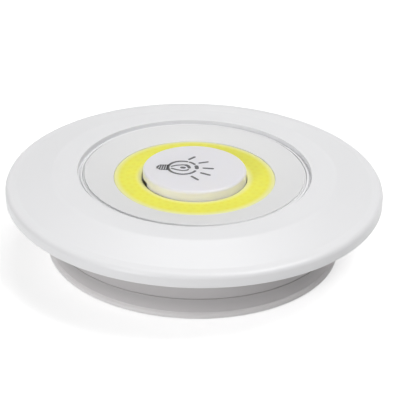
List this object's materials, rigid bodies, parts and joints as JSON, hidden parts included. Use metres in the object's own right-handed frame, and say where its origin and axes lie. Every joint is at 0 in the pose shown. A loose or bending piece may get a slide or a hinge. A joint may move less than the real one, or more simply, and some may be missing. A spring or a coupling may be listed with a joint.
{
  "type": "stick-on puck light",
  "caption": "Round battery puck light with a wide bezel, a ring of LEDs round a push button, a drum for the cells and a twist-off back cover.",
  "frame": {"origin": "centre of the sticky face of the back pad", "axes": "+Z out of the light's face along its axis; +X to the right as the symbol on the button is read; +Y away from the reader"},
  "size_m": [0.09, 0.09, 0.021],
  "materials": {
    "white_moulding": "satin white moulded ABS",
    "back_moulding": "satin pale grey-white moulded ABS",
    "plate_moulding": "fine matte pale grey",
    "milky_moulding": "milky translucent satin",
    "phosphor_gel": "soft yellow silicone",
    "lamp_board": "white solder mask on aluminium",
    "circuit_board": "green solder mask",
    "black_moulding": "black moulded",
    "dark_window": "dark infrared filter resin",
    "capacitor_ceramic": "ceramic",
    "cell_sleeve": "plain printed sleeve",
    "nickel_plate": "nickel plated",
    "screw_steel": "zinc plated",
    "red_insulation": "lead insulation",
    "black_insulation": "lead insulation",
    "foam_pad": "foam tape"
  },
  "bodies": {
    "lamp_body": {"front_bezel": "white_moulding", "drum_housing": "back_moulding", "lamp_plate": "plate_moulding", "cob_board": "lamp_board", "cob_phosphor": "phosphor_gel", "control_board": "circuit_board", "tact_switch_body": "black_moulding", "microcontroller": "black_moulding", "ir_receiver": "dark_window", "driver_transistor": "black_moulding", "chip_resistor_1": "black_moulding", "chip_resistor_2": "black_moulding", "filter_capacitor": "capacitor_ceramic", "aaa_cell_1": "cell_sleeve", "aaa_cell_2": "cell_sleeve", "aaa_cell_3": "cell_sleeve", "contact_positive": "nickel_plate", "contact_negative": "nickel_plate", "contact_link_right": "nickel_plate", "contact_link_left": "nickel_plate", "contact_spring_1": "nickel_plate", "contact_spring_2": "nickel_plate", "contact_spring_3": "nickel_plate", "housing_screw_1": "screw_steel", "housing_screw_2": "screw_steel", "housing_screw_3": "screw_steel", "housing_screw_4": "screw_steel", "battery_lead_positive": "red_insulation", "battery_lead_negative": "black_insulation", "led_lead_positive": "red_insulation", "led_lead_negative": "black_insulation"},
    "button": {"button_cap": "milky_moulding"},
    "plunger": {"tact_plunger": "black_moulding"},
    "cover": {"back_cover": "back_moulding", "adhesive_pad": "foam_pad"}
  },
  "joints": [
    {"name": "button_press", "type": "slide", "parent": "lamp_body", "child": "button", "axis": [0, 0, -1], "range_m": [0, 0.00055], "stiffness_N_per_m": 2000},
    {"name": "plunger_press", "type": "slide", "parent": "lamp_body", "child": "plunger", "axis": [0, 0, -1], "range_m": [0, 0.0003]},
    {"name": "cover_twist", "type": "hinge", "parent": "lamp_body", "child": "cover", "pos_m": [0, 0, 0.005], "axis": [0, 0, -1], "range_deg": [0, 22]}
  ],
  "couplings": [
    {"joint": "plunger_press", "follows": "button_press", "ratio": 0.545}
  ]
}
